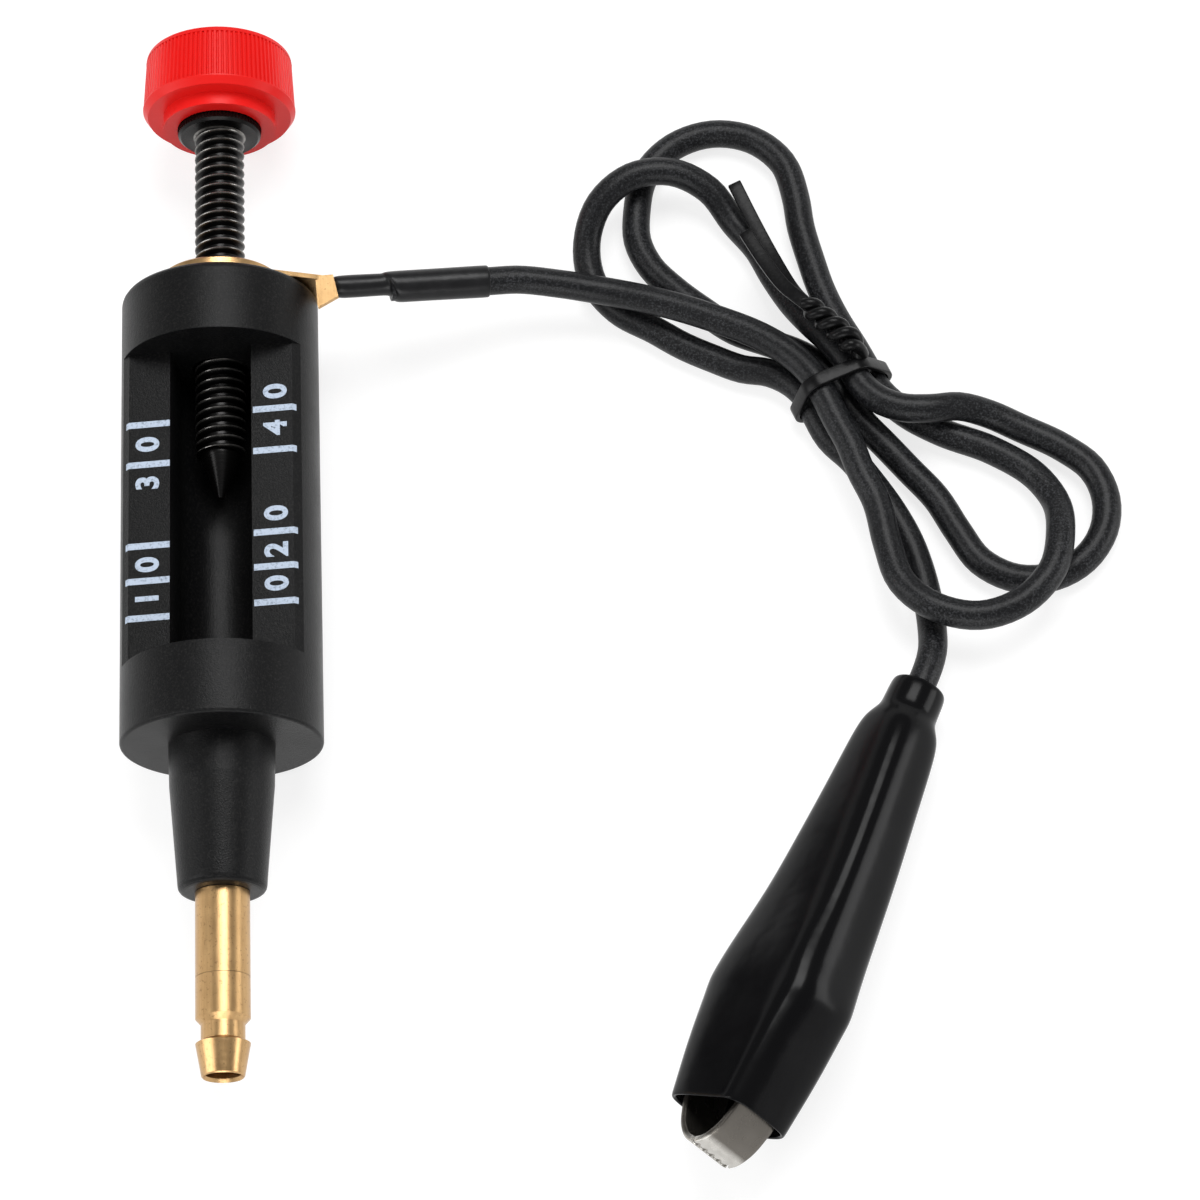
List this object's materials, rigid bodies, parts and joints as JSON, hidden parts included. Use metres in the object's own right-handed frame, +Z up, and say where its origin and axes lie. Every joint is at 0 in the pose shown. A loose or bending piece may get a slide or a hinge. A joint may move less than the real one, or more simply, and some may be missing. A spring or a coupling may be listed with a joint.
{
  "type": "spark plug tester",
  "caption": "Adjustable spark gap in a moulded barrel with a window, a screw with a red knob, a brass plug terminal and an earth lead with a booted clip.",
  "frame": {"origin": "on the table under the middle of the tester's length, without its lead", "axes": "+Y along the barrel from terminal to knob, +Z up out of the window, +X towards the lead"},
  "size_m": [0.1197, 0.1455, 0.024],
  "materials": {
    "barrel_plastic": "matt black moulding with a fine grain",
    "brass": "turned, slightly tarnished",
    "black_steel": "oiled black oxide",
    "red_plastic": "semi-gloss red moulding",
    "copper": "bare twisted copper",
    "sleeve_plastic": "shrunk black sleeve with a soft sheen",
    "lead_rubber": "satin black, lightly dusted",
    "tie_plastic": "satin black over wire",
    "nickel": "bright nickel plate",
    "spring_steel": "drawn wire",
    "boot_vinyl": "glossy black dipped vinyl"
  },
  "bodies": {
    "tester": {"barrel": "barrel_plastic", "bushing": "brass", "terminal_rod": "brass", "terminal_nut": "brass", "lead_tag": "brass", "tag_strands": "copper", "shrink_sleeve": "sleeve_plastic", "lead": "lead_rubber", "wire_tie": "tie_plastic", "clip_strands": "copper", "clip_fixed_jaw": "nickel", "clip_pivot_pin": "nickel", "clip_spring": "spring_steel", "clip_boot": "boot_vinyl"},
    "screw": {"adjusting_screw": "black_steel"},
    "knob": {"knob": "red_plastic"},
    "moving_jaw": {"clip_moving_jaw": "nickel"}
  },
  "joints": [
    {"name": "screw_feed", "type": "slide", "parent": "tester", "child": "screw", "axis": [0, 1, 0], "range_m": [-0.01905, 0.0127]},
    {"name": "knob_turn", "type": "hinge", "parent": "screw", "child": "knob", "pos_m": [0, 0.062, 0.012], "axis": [0, 1, 0], "range_deg": [-5400, 3600]},
    {"name": "jaw_open", "type": "hinge", "parent": "tester", "child": "moving_jaw", "pos_m": [0.063, -0.0615, 0.0085], "axis": [-0.5456, 0.3478, 0.7625], "range_deg": [0, 15], "stiffness_Nm_per_rad": 0.15, "springref_deg": -22.92, "deforming": ["clip_boot", "clip_spring"]}
  ],
  "couplings": [
    {"joint": "knob_turn", "follows": "screw_feed", "rad_per_m": 4947.4}
  ]
}
